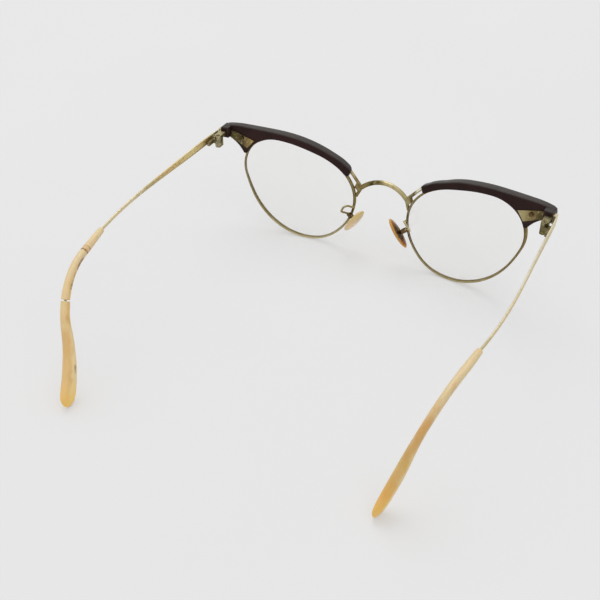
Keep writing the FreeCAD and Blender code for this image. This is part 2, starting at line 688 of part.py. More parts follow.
def tube(points, bends, radius):
    """Round wire along straight runs joined by tangent arcs."""
    pieces = []
    start = points[0]
    for i in range(1, len(points) - 1):
        before = (points[i] - points[i - 1]).normalize()
        after = (points[i + 1] - points[i]).normalize()
        turn = before.getAngle(after)
        cut = bends[i - 1] * math.tan(turn / 2)
        bend_start = points[i] - before * cut
        pieces.append(rod(start, bend_start, radius))
        axis = before.cross(after).normalize()
        centre = bend_start + axis.cross(before) * bends[i - 1]
        pieces.append(bent_rod(bend_start, centre, axis, turn, radius))
        start = points[i] + after * cut
    pieces.append(rod(start, points[-1], radius))
    return pieces[0].multiFuse(pieces[1:])


def temple_bar(tip):
    return temple_strip().fuse(tip.core(CORE_RADIUS, 1.5, 0))


def temple_hinge(bar):
    knuckle = upright(KNUCKLE_RADIUS, MIDDLE_LOW + KNUCKLE_GAP, MIDDLE_TOP - KNUCKLE_GAP)
    height = KNUCKLE_MIDDLE - 2 * KNUCKLE_GAP
    arm_corner = Vector(HINGE_X, HINGE_Y - 0.8, MIDDLE_LOW + KNUCKLE_GAP)
    arm = Part.makeBox(HINGE_INSET + 0.3, 1.9, height, arm_corner)
    leaf_inset = HINGE_INSET - KNUCKLE_RADIUS - 0.35
    leaf_low = MIDDLE_LOW + (KNUCKLE_MIDDLE - LEAF_HEIGHT) / 2
    leaf_corner = Vector(TEMPLE_X - leaf_inset, HINGE_Y - 0.8, leaf_low)
    leaf = Part.makeBox(leaf_inset + 0.3, HINGE_LEAF, LEAF_HEIGHT, leaf_corner)
    hinge = knuckle.fuse(arm).fuse(leaf).cut(bar)
    return hinge.cut(upright(HINGE_SCREW_RADIUS + RUNNING_CLEARANCE, HINGE_LOW - 1, HINGE_TOP + 1))


# Bridge ends and fork places in the eye plane.
FORK_W = -0.9
BRIDGE_V = 6.25
FORK_JOINT = Vector(BRIDGE_HALF, FORK_W, BRIDGE_V)
FORK_TOP = Vector(LENS_INNER + 4.0, FORK_W - 0.4, LENS_TOP - 6.4)
FORK_LOW = Vector(LENS_INNER - 0.6, FORK_W + 0.5, 2.4)


def fork_arm(grow):
    return rod(FORK_JOINT, FORK_TOP, FORK_RADIUS + grow)


def fork():
    pieces = fork_arm(0)
    pieces = pieces.fuse(rod(FORK_JOINT, FORK_LOW, FORK_RADIUS))
    pieces = pieces.fuse(Part.makeSphere(FORK_RADIUS * 1.25, FORK_JOINT))
    corners = (
        FORK_JOINT,
        FORK_JOINT + (FORK_TOP - FORK_JOINT) * 0.3,
        Vector(LENS_INNER + 0.5, FORK_W, BRIDGE_V - 0.2),
        FORK_JOINT + (FORK_LOW - FORK_JOINT) * 0.5,
    )
    web = [Vector(p.x, FORK_W - 0.45, p.z) for p in corners]
    pieces = pieces.fuse(Part.Face(Part.makePolygon(web + web[:1])).extrude(BACK * 1.1))
    return pieces.cut(lens_prism(RIM_WALL + BRAZE_GAP, -4, 4))


def bridge():
    end = eye(FORK_JOINT.x, FORK_JOINT.y, FORK_JOINT.z)
    half = end.x
    lean = FreeCAD.Rotation(SIDE, BRIDGE_LEAN)
    rise = lean.multVec(UP)
    axis = lean.multVec(BACK)
    radius = (half ** 2 + BRIDGE_RISE ** 2) / (2 * BRIDGE_RISE)
    middle = Vector(0, end.y, end.z)
    centre = middle + rise * (BRIDGE_RISE - radius)
    along = Vector(half, end.y, end.z) - centre
    outward = along.normalize()
    turn = math.degrees(2 * math.asin(half / radius))
    place = Vector(half, end.y, end.z)
    tall = BRIDGE_HEIGHT / 2
    deep = BRIDGE_DEPTH / 2
    profile = Part.Ellipse(place + outward * tall, place + axis * deep, place).toShape()
    arch = Part.Face(Part.Wire([profile])).revolve(centre, axis, -turn)
    side = in_place(fork())
    return arch.fuse(side).fuse(mirrored(side))


# Nose pad frame: x along the pad, y across it, z toward the nose.
PAD_LONG = PAD_AXIS.normalize()
PAD_OUT = (PAD_FACE - PAD_LONG * PAD_FACE.dot(PAD_LONG)).normalize()
PAD_CROSS = PAD_OUT.cross(PAD_LONG)
PAD_TURN = FreeCAD.Rotation(PAD_LONG, PAD_CROSS, PAD_OUT, "ZXY")
PAD = FreeCAD.Placement(PAD_CENTRE + Vector(0, FRONT_Y, 0), PAD_TURN)


def on_pad(shape):
    return shape.transformed(PAD.toMatrix(), True)


def core_plate(grow):
    length = CORE_PLATE_LENGTH + 2 * grow
    width = CORE_PLATE_WIDTH + 2 * grow
    plate = Part.makeBox(length, width, CORE_PLATE_INLAY + grow, Vector(-length / 2, -width / 2, 0))
    upright_edges = [e for e in plate.Edges if abs(e.Length - CORE_PLATE_INLAY - grow) < 1e-6]
    return round_edges(plate, width * 0.45, upright_edges)


def nose_pad():
    """Leaf-like pad with thin edges, let in for its core plate."""
    stretch = FreeCAD.Matrix()
    stretch.scale(PAD_LENGTH / 2, PAD_WIDTH / 2, PAD_THICKNESS / 2)
    pad = Part.makeSphere(1.0).transformGeometry(stretch)
    pad.translate(UP * (PAD_THICKNESS / 2 - PAD_SINK))
    recess = core_plate(SEAT_CLEARANCE)
    opening = recess.translated(UP * -CORE_PLATE_INLAY / 2)
    return pad.cut(recess).cut(opening)


def pad_core():
    lug = Part.makeCylinder(LUG_RADIUS, LUG_THICKNESS, Vector(0, -LUG_THICKNESS / 2, -PIN_OFFSET), BACK)
    corner = Vector(-LUG_RADIUS, -LUG_THICKNESS / 2, -PIN_OFFSET)
    neck = Part.makeBox(2 * LUG_RADIUS, LUG_THICKNESS, PIN_OFFSET + 0.2, corner)
    core = core_plate(0).fuse(lug).fuse(neck)
    hole = PIN_RADIUS + RUNNING_CLEARANCE
    return core.cut(Part.makeCylinder(hole, 6, Vector(0, -3, -PIN_OFFSET), BACK))


BOX_HALF = LUG_THICKNESS / 2 + CHEEK_GAP + CHEEK_THICKNESS
FLOOR_Z = -PIN_OFFSET - LUG_RADIUS - 0.3


def pad_box():
    low = FLOOR_Z - BOX_FLOOR
    cheek_top = -PIN_OFFSET + PIN_RADIUS + 0.3
    length = 2 * LUG_RADIUS
    box = Part.makeBox(length, 2 * BOX_HALF, cheek_top - low, Vector(-length / 2, -BOX_HALF, low))
    inner = LUG_THICKNESS / 2 + CHEEK_GAP
    box = box.cut(Part.makeBox(length + 2, 2 * inner, 5, Vector(-length / 2 - 1, -inner, FLOOR_Z)))
    hole = PIN_RADIUS + SCREW_CLEARANCE
    return box.cut(Part.makeCylinder(hole, 6, Vector(0, -3, -PIN_OFFSET), BACK))


def pad_pin():
    return Part.makeCylinder(PIN_RADIUS, 2 * BOX_HALF, Vector(0, -BOX_HALF, -PIN_OFFSET), BACK)


def pad_arm():
    foot = eye(LENS_INNER - RIM_WALL / 2, HALF_RIM, -1.6)
    seat = PAD.multVec(Vector(0, 0, FLOOR_Z - BOX_FLOOR + 0.2))
    back = eye(LENS_INNER - RIM_WALL / 2, HALF_RIM + 1.4, -1.6)
    first = foot + Vector(1.2, 6.2, 3.6)
    second = seat + Vector(2.6, 2.4, 1.6)
    wire = tube([foot, back, first, second, seat], [1.0, 1.3, 1.1], ARM_RADIUS)
    return wire.fuse(on_pad(pad_box()))


def save(name, shape):
    if shape.ShapeType == "Compound" and len(shape.Solids) == 1:
        shape = shape.Solids[0]
    shape.exportStep("parts/" + name + ".step")


def save_pair(name, shape):
    save("left_" + name, shape)
    save("right_" + name, mirrored(shape))


def save_group(name, shape):
    save(name, Part.makeCompound([shape, mirrored(shape)]))


save_pair("eyewire", in_place(eyewire()))
save_pair("lens", in_place(lens()))
save("left_brow", brow(NASAL_LONGER_LEFT))
save("right_brow", mirrored(brow(-NASAL_SHORTER_RIGHT)))
save_pair("end_piece", in_place(end_piece()))
save_pair("front_hinge", front_hinge())
save_group("closing_screws", in_place(closing_screw()))
save_group("brow_screws", in_place(brow_screw()))
save_group("hinge_screws", hinge_screw())
save("bridge", bridge())

LEFT_BAR = temple_bar(LEFT_TIP)
RIGHT_BAR = temple_bar(RIGHT_TIP)
save("left_temple_bar", LEFT_BAR)
save("right_temple_bar", mirrored(RIGHT_BAR))
save("left_temple_hinge", temple_hinge(LEFT_BAR))
save("right_temple_hinge", mirrored(temple_hinge(RIGHT_BAR)))

CRACK = TIP_CRACK_SHARE * LEFT_TIP_LENGTH
BREAK = TIP_BREAK_SHARE * LEFT_TIP_LENGTH
save("left_tip_front", LEFT_TIP.piece(0, CRACK))
save("left_tip_middle", LEFT_TIP.piece(CRACK + TIP_CRACK_GAP, BREAK))
save("left_tip_rear", LEFT_TIP.piece(BREAK + TIP_BREAK_GAP, LEFT_TIP_LENGTH))
save("right_tip", mirrored(RIGHT_TIP.piece(0, RIGHT_TIP_LENGTH)))

save_pair("pad_arm", pad_arm())
save_group("pad_pins", on_pad(pad_pin()))
save_pair("pad_core", on_pad(pad_core()))
save_pair("nose_pad", on_pad(nose_pad()))
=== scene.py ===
import bpy
import bmesh
import math
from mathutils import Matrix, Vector


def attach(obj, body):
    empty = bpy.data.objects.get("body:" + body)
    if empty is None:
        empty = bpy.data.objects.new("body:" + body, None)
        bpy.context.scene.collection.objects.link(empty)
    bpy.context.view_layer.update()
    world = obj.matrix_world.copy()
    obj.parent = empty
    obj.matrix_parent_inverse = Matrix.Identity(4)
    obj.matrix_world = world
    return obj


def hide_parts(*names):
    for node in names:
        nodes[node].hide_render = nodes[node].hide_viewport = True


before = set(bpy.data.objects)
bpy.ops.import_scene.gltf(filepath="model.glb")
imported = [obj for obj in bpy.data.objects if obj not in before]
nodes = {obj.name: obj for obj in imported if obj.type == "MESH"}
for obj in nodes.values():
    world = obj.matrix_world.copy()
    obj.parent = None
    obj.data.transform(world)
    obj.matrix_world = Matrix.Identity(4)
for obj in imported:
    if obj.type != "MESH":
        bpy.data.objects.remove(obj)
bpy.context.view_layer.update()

MM = 0.001
X, Y, Z = 0, 1, 2

# Camera: behind the wearer's right shoulder, looking down on the open glasses
CAMERA_AT = Vector((-124.228, 242.549, 234.471)) * MM
CAMERA_LOOK = Vector((5.622, -6.124, 13.385)) * MM
CAMERA_LENS = 59.41
CAMERA_SENSOR = 36.0

# Room light at shares of the way from straight down to straight up, and the sky as the camera sees it:
# in the backdrop's tone as far as SEEN_LEVEL, and brighter from there up to SEEN_TOP
SKY_LIGHT = ((0.0, 0.32), (0.5, 0.51), (0.72, 0.663), (1.0, 0.79))
SEEN_LEVEL = 0.55
SEEN_TOP = 0.86

# The two square soft lamps: place and side in metres, and power
WINDOW_AT = Vector((0.75, -0.85, 2.3))
WINDOW_SIDE = 1.9
WINDOW_WATTS = 21.0
FILL_AT = Vector((-1.3, 1.1, 1.9))
FILL_SIDE = 1.5
FILL_WATTS = 5.0

# Table in metres: half its width, its drop under the glasses, and the distances over which its shading
# fades into the backdrop, of which NEAR_SHARE is mixed in already beside the glasses
TABLE_HALF = 6.0
TABLE_DROP = 0.05 * MM
FADE_FROM, FADE_TO = 0.35, 1.1
NEAR_SHARE = 0.45

# Most of a noise's values lie between these
NOISE_LOW, NOISE_HIGH = 0.3, 0.7

# How brow plastic, tip plastic and glass bend light, and how red, green and blue soak into amber plastic
REFRACTION = 1.5
AMBER_SOAK = (1.0, 0.5, 0.2)

# Ear tips: middle and radius of the bend and of the curl, the axis of both, and the heights of their zones
BEND_RADIUS = 23.0 * MM
CURL_RADIUS = 48.0 * MM
LEFT_BEND = Vector((62.988, 32.433, 17.064)) * MM
LEFT_CURL = Vector((58.478, 100.886, 35.361)) * MM
LEFT_BEND_AXIS = Vector((-0.974, -0.116, 0.195))
RIGHT_BEND = Vector((-62.450, 30.764, 17.368)) * MM
RIGHT_CURL = Vector((-57.164, 100.542, 29.369)) * MM
RIGHT_BEND_AXIS = Vector((0.967, -0.112, 0.228))
PADDLE_FULL, PADDLE_TOP = 22 * MM, 26 * MM
CROOK_FULL, CROOK_TOP = 37 * MM, 40 * MM
GLOW_FULL, GLOW_TOP = 1.5 * MM, 10.0 * MM

# Across the ear tips, from the middle line outwards in millimetres: where it is amber, plain and creamy
LEFT_BEND_TINT = (0.2, 0.9, 1.7)
LEFT_CURL_TINT = (-1.8, -0.4, 0.8)
RIGHT_BEND_TINT = (2.1, 1.3, 0.4)
RIGHT_CURL_TINT = (-2.5, -1.5, -0.6)
LEFT_END_GLOW = 0.7
RIGHT_END_GLOW = 0.4

# The crack across the left tip: its place, the way of the tip there, and its lines, each with its
# place along the tip and its half width in millimetres and the depth of its tone
CRACK_AT = Vector((67.341, 33.811, 39.638)) * MM
CRACK_WAY = Vector((-0.135, 0.987, -0.087))
CRACK_LINES = ((-1.9, 0.32, 0.75), (0.07, 0.55, 0.85))
CRACK_CORE = 0.1 * MM
CRACK_RAGGED = 0.3 * MM
RAGGED_GRAIN = 900.0

# The flush between the crack's lines: its place along the tip, half its width and half its core
FLUSH_AT = -1.0 * MM
FLUSH_HALF = 1.6 * MM
FLUSH_CORE = 0.5 * MM

# The splits behind the crack: where across the bend and along the tip they begin and are whole
SPLIT_SIDE, SPLIT_SIDE_FULL = 0.25 * MM, -0.35 * MM
SPLIT_START, SPLIT_START_FULL = 1.0 * MM, 2.5 * MM
SPLIT_END, SPLIT_END_FULL = 16.0 * MM, 13.5 * MM

# The bruise on the left paddle: its place, its long way, half its length, half its width and its raggedness
BRUISE_AT = Vector((56.96, 58.7, 11.1)) * MM
BRUISE_WAY = Vector((-0.26, 0.49, -0.83))
BRUISE_LONG = 2.6 * MM
BRUISE_WIDE = 0.8 * MM
BRUISE_RAGGED = 0.25

# Nose pads: middle and long axis of the left one, half the length and half the width of both, the
# factors that turn the left one's places into the right one's, and how clear their rims are
PAD_AT = Vector((10.35, -60.62, 15.0)) * MM
PAD_LONG = Vector((0.501, -0.150, -0.852))
PAD_HALF_LONG = 7.1 * MM
PAD_HALF_WIDE = 3.5 * MM
MIRROR = Vector((-1, 1, 1))
LEFT_RIM_SHARE = 0.5
RIGHT_RIM_SHARE = 0.85

# Nose ends of the brows, and in millimetres back from the end the cuts, the rounding over and the fuller
# top, with the upward turn of the surface at which that starts and is whole
LEFT_NOSE_END = Vector((14.492, -65.675, 32.082)) * MM
RIGHT_NOSE_END = Vector((-15.99, -65.816, 33.694)) * MM
LEFT_NOSE_WAY = Vector((-0.93, -0.05, -0.36)).normalized()
RIGHT_NOSE_WAY = Vector((0.93, -0.05, -0.36)).normalized()
NOSE_CUTS = (0.15, 0.35, 0.6, 0.9, 1.25, 1.65, 2.1, 2.8, 3.6, 4.4, 5.2, 6.0, 7.0, 8.0, 9.0, 10.0, 11.0)
NOSE_ROUND = 2.1
NOSE_TAPER = 0.45
NOSE_POWER = 2.4
NOSE_CORE = 0.8
NOSE_BLEND = 0.6
NOSE_REACH = 4.0
SWELL_FROM, SWELL_TOP, SWELL_TO = 1.2, 4.9, 11.0
SWELL_TURN, SWELL_TURN_FULL = 0.05, 0.50
LEFT_SWELL = 0.25
RIGHT_SWELL = 0.7

# Copies of the solids, in metres: points nearer than the seam are joined, and cuts snap to near points
SEAM = 2e-7
CUT_SNAP = 1e-8

# Edges sharper than these degrees stay sharp, and the brows get a painted grey sheen of top light where
# they turn upwards
BROW_SHARP = 38
LENS_SHARP = 25
TOP_LIGHT_TURN, TOP_LIGHT_TURN_FULL = 0.25, 0.80

# Lens faces: those that surely look forwards give the lens's way, and those along it are polished
FORWARDS = -0.8
POLISHED = 0.9

# Backdrop and table, in tones from 0 to 255 as the eye sees them, like all tones below
BACKDROP = (230, 230, 230)
TABLE_DIM = (229, 229, 230)
TABLE_BRIGHT = (232, 232, 232)

# Gold filled metal, from bright where handled to tarnished; some tones also serve as painted highlights and
# painted shade, as marked below
PALE_GOLD = (241, 236, 214)
SILVERY_GOLD = (229, 222, 200)
LIGHT_GOLD = (230, 216, 182)
BUTTER_GOLD = (228, 211, 154)
CHAMPAGNE = (219, 207, 170)
WARM_GOLD = (218, 190, 136)
SOFT_GOLD = (203, 189, 146)
STRAW = (184, 170, 128)
BRASS = (178, 152, 94)
DULL_GOLD = (168, 155, 112)
OLIVE = (149, 134, 92)
PATINA = (138, 121, 80)
UNDERSIDE_SHADE_OLIVE = (118, 106, 66)
DEEP_PATINA_AND_SHADE = (103, 93, 60)
TARNISH_AND_SHADE = (89, 77, 50)
ARCH_SHADE_OLIVE = (60, 56, 32)

# Nickel silver and the dark small metal, some of it also painted shade on the pad arms, and what wear and
# glancing light show on all metal
NICKEL_LIGHT = (170, 162, 131)
NICKEL = (150, 142, 115)
NICKEL_DULL = (130, 121, 92)
VERDIGRIS = (97, 92, 45)
BROWN_METAL = (112, 90, 64)
BROWN_TARNISH_AND_SHADE = (96, 74, 48)
CORE_DARK = (72, 49, 30)
DULL_BLOTCH = (86, 76, 46)
RUBBED_SPOT = (226, 212, 170)
PIT = (70, 58, 34)
RIM_GLANCE = (176, 156, 108)
METAL_GLANCE = (238, 224, 188)

# Ear tip plastic with its streaks, sides and damage
CREAM = (243, 219, 160)
BUTTER = (243, 207, 112)
LIGHT_HONEY = (238, 209, 147)
IVORY = (221, 198, 151)
DEEP_HONEY = (238, 190, 98)
HONEY = (220, 185, 106)
BROWN_HONEY = (211, 171, 107)
GLOWING_AMBER = (253, 204, 84)
CREAM_STREAK = (236, 216, 176)
AMBER_STREAK = (212, 160, 88)
AMBER_SIDE = (222, 166, 86)
CREAM_SIDE = (238, 212, 164)
CRACK_BROWN = (134, 92, 48)
CRACK_FLUSH = (212, 160, 106)
SPLIT_BROWN = (130, 92, 54)
BRUISE_BROWN = (150, 112, 70)

# Plastic of the paler and of the darker nose pad
PAD_PALE = (234, 208, 168)
PAD_BLUSH = (228, 196, 150)
PAD_STRAW = (213, 188, 123)
PAD_RIM = (228, 202, 146)
AMBER_LIGHT = (214, 158, 68)
AMBER = (172, 100, 36)
AMBER_BROWN = (116, 60, 18)
AMBER_DARK = (56, 28, 11)
AMBER_SMOKE = (140, 92, 44)
AMBER_PALE = (204, 158, 98)
AMBER_RIM = (216, 164, 82)

# Ground edge of the lenses, in the rim's gold as a painted reflection, and the scuffs on the brows
EDGE_DARK = (128, 112, 66)
EDGE_LIGHT = (166, 148, 96)
EDGE_GRIT = (196, 186, 150)
SCUFF = (80, 70, 64)

# Brow plastic and lens glass, as linear shares of light
CELLULOID_DARK = (0.0200, 0.0070, 0.0055)
CELLULOID_LIGHT = (0.0300, 0.0110, 0.0090)
# Painted grey sheen of top light and reflection on the brows' tops, in a darker and a lighter tone
TOP_SHEEN_DARK = (0.038, 0.032, 0.029)
TOP_SHEEN_LIGHT = (0.060, 0.053, 0.048)
GLASS_DIM = (0.975, 0.972, 0.962)
GLASS_CLEAR = (0.985, 0.983, 0.975)
GLASS_SHADE = (0.985, 0.982, 0.972, 1)

# Tones along each metal piece, partly wear and tarnish and partly painted light and shade: the axis it runs
# along, then places in millimetres with the tone there
METAL_TONES = {
    "left_eyewire": (Z, ((0, SOFT_GOLD), (7, DULL_GOLD), (14, OLIVE), (24, OLIVE), (42, PATINA))),
    "right_eyewire": (Z, ((0, STRAW), (7, DULL_GOLD), (12, PATINA), (24, PATINA), (42, OLIVE))),
    # Painted shade: on both end pieces the dark band from about 59 to 66 mm out is painted shadow of the
    # brow's outer end
    "left_end_piece": (X, (
        (54.5, BRASS), (57.5, PATINA), (59.5, TARNISH_AND_SHADE), (63, DEEP_PATINA_AND_SHADE), (66, TARNISH_AND_SHADE), (68, STRAW),
        (70, PALE_GOLD))),
    "right_end_piece": (X, (
        (-70, PALE_GOLD), (-68, LIGHT_GOLD), (-66, TARNISH_AND_SHADE), (-63, TARNISH_AND_SHADE), (-60.5, PATINA),
        (-58, DULL_GOLD), (-54.5, STRAW))),
    "left_front_hinge": (Z, ((37, NICKEL), (40, NICKEL_LIGHT), (43, NICKEL_LIGHT))),
    "left_temple_hinge": (Z, ((37, NICKEL_DULL), (43, NICKEL))),
    "right_front_hinge": (Z, ((37, VERDIGRIS), (40, VERDIGRIS), (43, NICKEL))),
    "right_temple_hinge": (Z, ((37, DEEP_PATINA_AND_SHADE), (43, NICKEL_DULL))),
    "left_temple_bar": (Y, (
        (-58, PALE_GOLD), (-52, CHAMPAGNE), (-46, WARM_GOLD), (-39, BUTTER_GOLD), (-24, WARM_GOLD),
        (-9, SOFT_GOLD), (0, LIGHT_GOLD), (10, LIGHT_GOLD), (24, CHAMPAGNE))),
    "right_temple_bar": (Y, (
        (-58, PALE_GOLD), (-45, SILVERY_GOLD), (-20, SILVERY_GOLD), (-5, LIGHT_GOLD), (10, LIGHT_GOLD),
        (24, SOFT_GOLD))),
    # Painted light on the bridge: the pale fork ends are painted highlights, and the dark olive over the
    # arch's left half is painted shade
    "bridge": (X, (
        (-16.6, PALE_GOLD), (-14.4, PALE_GOLD), (-13.2, PATINA), (-12.4, DEEP_PATINA_AND_SHADE), (-9.5, DULL_GOLD),
        (-6, STRAW), (-1.4, SOFT_GOLD), (1.4, OLIVE), (4.2, ARCH_SHADE_OLIVE), (7, OLIVE), (12, PATINA),
        (14.4, SOFT_GOLD), (16.6, PALE_GOLD))),
    # Painted light on the pad arms: their dark lower boxes are painted shade behind the pads, and the right
    # arm's pale upper wire is a painted highlight
    "left_pad_arm": (Z, ((14, BROWN_TARNISH_AND_SHADE), (16.4, BROWN_TARNISH_AND_SHADE), (17.4, DULL_GOLD), (22, DULL_GOLD))),
    "right_pad_arm": (Z, ((14, BROWN_METAL), (16.4, BROWN_METAL), (17.4, CHAMPAGNE), (22, STRAW))),
    "left_pad_core": (Z, ((10, BROWN_METAL), (20, NICKEL_DULL))),
    "right_pad_core": (Z, ((10, CORE_DARK), (20, BROWN_TARNISH_AND_SHADE))),
    "closing_screws": (Z, ((30, DEEP_PATINA_AND_SHADE), (45, NICKEL_DULL))),
    "brow_screws": (X, ((-62, BROWN_TARNISH_AND_SHADE), (62, TARNISH_AND_SHADE))),
    "hinge_screws": (Z, ((37, TARNISH_AND_SHADE), (43, NICKEL_DULL))),
    "pad_pins": (Z, ((10, BROWN_METAL), (20, NICKEL_DULL))),
}

# Painted shade on the temple bars' undersides: the height in millimetres at which it begins, with its tone,
# and its fade
UNDERSIDE = {"left_temple_bar": (40.2, DEEP_PATINA_AND_SHADE), "right_temple_bar": (40.25, UNDERSIDE_SHADE_OLIVE)}
UNDERSIDE_FADE = 0.7

# Tones of the plastic pieces by height in millimetres
LEFT_TIP_TONES = (
    (0, BUTTER), (4, CREAM), (13, CREAM), (18, LIGHT_HONEY), (31, LIGHT_HONEY), (42, IVORY))
RIGHT_TIP_TONES = (
    (0, CREAM), (5, BUTTER), (9, DEEP_HONEY), (13, HONEY), (20, HONEY), (28, BROWN_HONEY),
    (33, BROWN_HONEY), (37, IVORY), (42, IVORY))
LEFT_PAD_TONES = ((8, PAD_PALE), (13.5, PAD_PALE), (15.5, PAD_BLUSH), (18, PAD_STRAW), (20.5, PAD_STRAW))
# The darker pad's dark middle stands for the metal core seen through it and is partly painted shade
RIGHT_PAD_TONES = (
    (8, AMBER_LIGHT), (10, AMBER), (12, AMBER_BROWN), (14.5, AMBER_DARK), (17, AMBER_DARK),
    (19, AMBER_SMOKE), (20.5, AMBER_PALE))


def seen(tone):
    """A tone as the eye sees it, 0 to 255, made linear."""
    out = []
    for part in tone:
        share = part / 255
        out.append(share / 12.92 if share <= 0.04045 else ((share + 0.055) / 1.055) ** 2.4)
    return tuple(out)


def clamped(value):
    return min(max(value, 0.0), 1.0)


def new_finish(name):
    finish = bpy.data.materials.new(name)
    finish.use_nodes = True
    tree = finish.node_tree
    return finish, tree, tree.nodes["Principled BSDF"]


def add(tree, kind, **settings):
    step = tree.nodes.new(kind)
    for key, value in settings.items():
        setattr(step, key, value)
    return step


def feed(tree, socket, value):
    if isinstance(value, bpy.types.NodeSocket):
        tree.links.new(value, socket)
    else:
        socket.default_value = value


def place(tree):
    return add(tree, "ShaderNodeTexCoord").outputs["Object"]


def axis(tree, point, which):
    parts = add(tree, "ShaderNodeSeparateXYZ")
    feed(tree, parts.inputs[0], point)
    return parts.outputs[which]


def stretched(tree, point, scale):
    step = add(tree, "ShaderNodeMapping")
    feed(tree, step.inputs["Vector"], point)
    step.inputs["Scale"].default_value = scale
    return step.outputs[0]


def cloud(tree, point, scale, detail=3.0, rough=0.55):
    step = add(tree, "ShaderNodeTexNoise")
    feed(tree, step.inputs["Vector"], point)
    step.inputs["Scale"].default_value = scale
    step.inputs["Detail"].default_value = detail
    step.inputs["Roughness"].default_value = rough
    return step.outputs[0]


def span(tree, value, low, high, out_low=0.0, out_high=1.0, smooth=False):
    """The value's place between low and high, given between out_low and out_high."""
    step = add(tree, "ShaderNodeMapRange")
    if smooth:
        step.interpolation_type = "SMOOTHSTEP"
    feed(tree, step.inputs["Value"], value)
    step.inputs["From Min"].default_value = low
    step.inputs["From Max"].default_value = high
    step.inputs["To Min"].default_value = out_low
    step.inputs["To Max"].default_value = out_high
    return step.outputs[0]


def between(tree, noise, low, high):
    """Noise spread out from low to high."""
    return span(tree, noise, NOISE_LOW, NOISE_HIGH, low, high)


def wander(tree, noise, by):
    """Noise as a swing by this much to both sides."""
    return between(tree, noise, -by, by)


def ramp(tree, value, *stops):
    step = add(tree, "ShaderNodeValToRGB")
    feed(tree, step.inputs[0], value)
    band = step.color_ramp
    while len(band.elements) < len(stops):
        band.elements.new(0.5)
    for element, (spot, colour) in zip(band.elements, stops):
        element.position = spot
        element.color = (*colour, 1)
    return step.outputs[0]


def mottled(tree, noise, one, two):
    """Two colours in clouds."""
    return ramp(tree, noise, (NOISE_LOW, one), (NOISE_HIGH, two))


def mixed(tree, share, one, two):
    step = add(tree, "ShaderNodeMix", data_type="RGBA", blend_type="MIX")
    feed(tree, step.inputs[0], share)
    for socket, value in ((step.inputs[6], one), (step.inputs[7], two)):
        feed(tree, socket, value if isinstance(value, bpy.types.NodeSocket) else (*value, 1))
    return step.outputs[2]


def sums(tree, mode, one, two=0.0):
    step = add(tree, "ShaderNodeMath", operation=mode)
    feed(tree, step.inputs[0], one)
    feed(tree, step.inputs[1], two)
    return step.outputs[0]


def times(tree, first, *others):
    for other in others:
        first = sums(tree, "MULTIPLY", first, other)
    return first


def away(tree, value, middle):
    """How far the value is from the middle, on either side."""
    return sums(tree, "ABSOLUTE", sums(tree, "SUBTRACT", value, middle))


def relief(tree, height, depth, strength):
    step = add(tree, "ShaderNodeBump")
    step.inputs["Strength"].default_value = strength
    step.inputs["Distance"].default_value = depth
    feed(tree, step.inputs["Height"], height)
    return step.outputs[0]


def from_point(tree, spot, point):
    step = add(tree, "ShaderNodeVectorMath", operation="SUBTRACT")
    feed(tree, step.inputs[0], spot)
    step.inputs[1].default_value = point
    return step.outputs[0]


def along(tree, vector, way):
    step = add(tree, "ShaderNodeVectorMath", operation="DOT_PRODUCT")
    feed(tree, step.inputs[0], vector)
    step.inputs[1].default_value = way
    return step.outputs["Value"]


def length_of(tree, vector):
    step = add(tree, "ShaderNodeVectorMath", operation="LENGTH")
    feed(tree, step.inputs[0], vector)
    return step.outputs["Value"]


def beside_line(tree, vector, way):
    """Distance from a straight line through the vector's start."""
    run = along(tree, vector, way)
    whole = length_of(tree, vector)
    left = sums(tree, "SUBTRACT", times(tree, whole, whole), times(tree, run, run))
    return sums(tree, "SQRT", sums(tree, "MAXIMUM", left))


def outside_bend(tree, spot, centre, way, radius):
    """How far a place on a bent piece lies outside the bend's middle line."""
    return sums(tree, "SUBTRACT", beside_line(tree, from_point(tree, spot, centre), way), radius)


def toned(tree, spot, which, tones, noise):
    """Tones at places along an axis, joined by a ramp whose places waver with the noise."""
    low, high = tones[0][0], tones[-1][0]
    run = span(tree, axis(tree, spot, which), low * MM, high * MM)
    stops = [((at - low) / (high - low), seen(tone)) for at, tone in tones]
    return ramp(tree, sums(tree, "ADD", run, noise), *stops)


def eye_rays(tree):
    """One for rays from the camera, straight or by way of gloss or glass, and nought for light rays."""
    path = add(tree, "ShaderNodeLightPath")
    direct = sums(tree, "MAXIMUM", path.outputs["Is Camera Ray"], path.outputs["Is Glossy Ray"])
    return sums(tree, "MAXIMUM", direct, path.outputs["Is Transmission Ray"])


def show_both(tree, share, one, two):
    """Put two shaders, mixed by the share, on the surface."""
    both = add(tree, "ShaderNodeMixShader")
    feed(tree, both.inputs[0], share)
    feed(tree, both.inputs[1], one.outputs[0])
    feed(tree, both.inputs[2], two.outputs[0])
    feed(tree, tree.nodes["Material Output"].inputs["Surface"], both.outputs[0])


def translucent(shader, weight, depth):
    """Let light soak into amber plastic."""
    shader.inputs["Subsurface Weight"].default_value = weight
    shader.inputs["Subsurface Radius"].default_value = AMBER_SOAK
    shader.inputs["Subsurface Scale"].default_value = depth


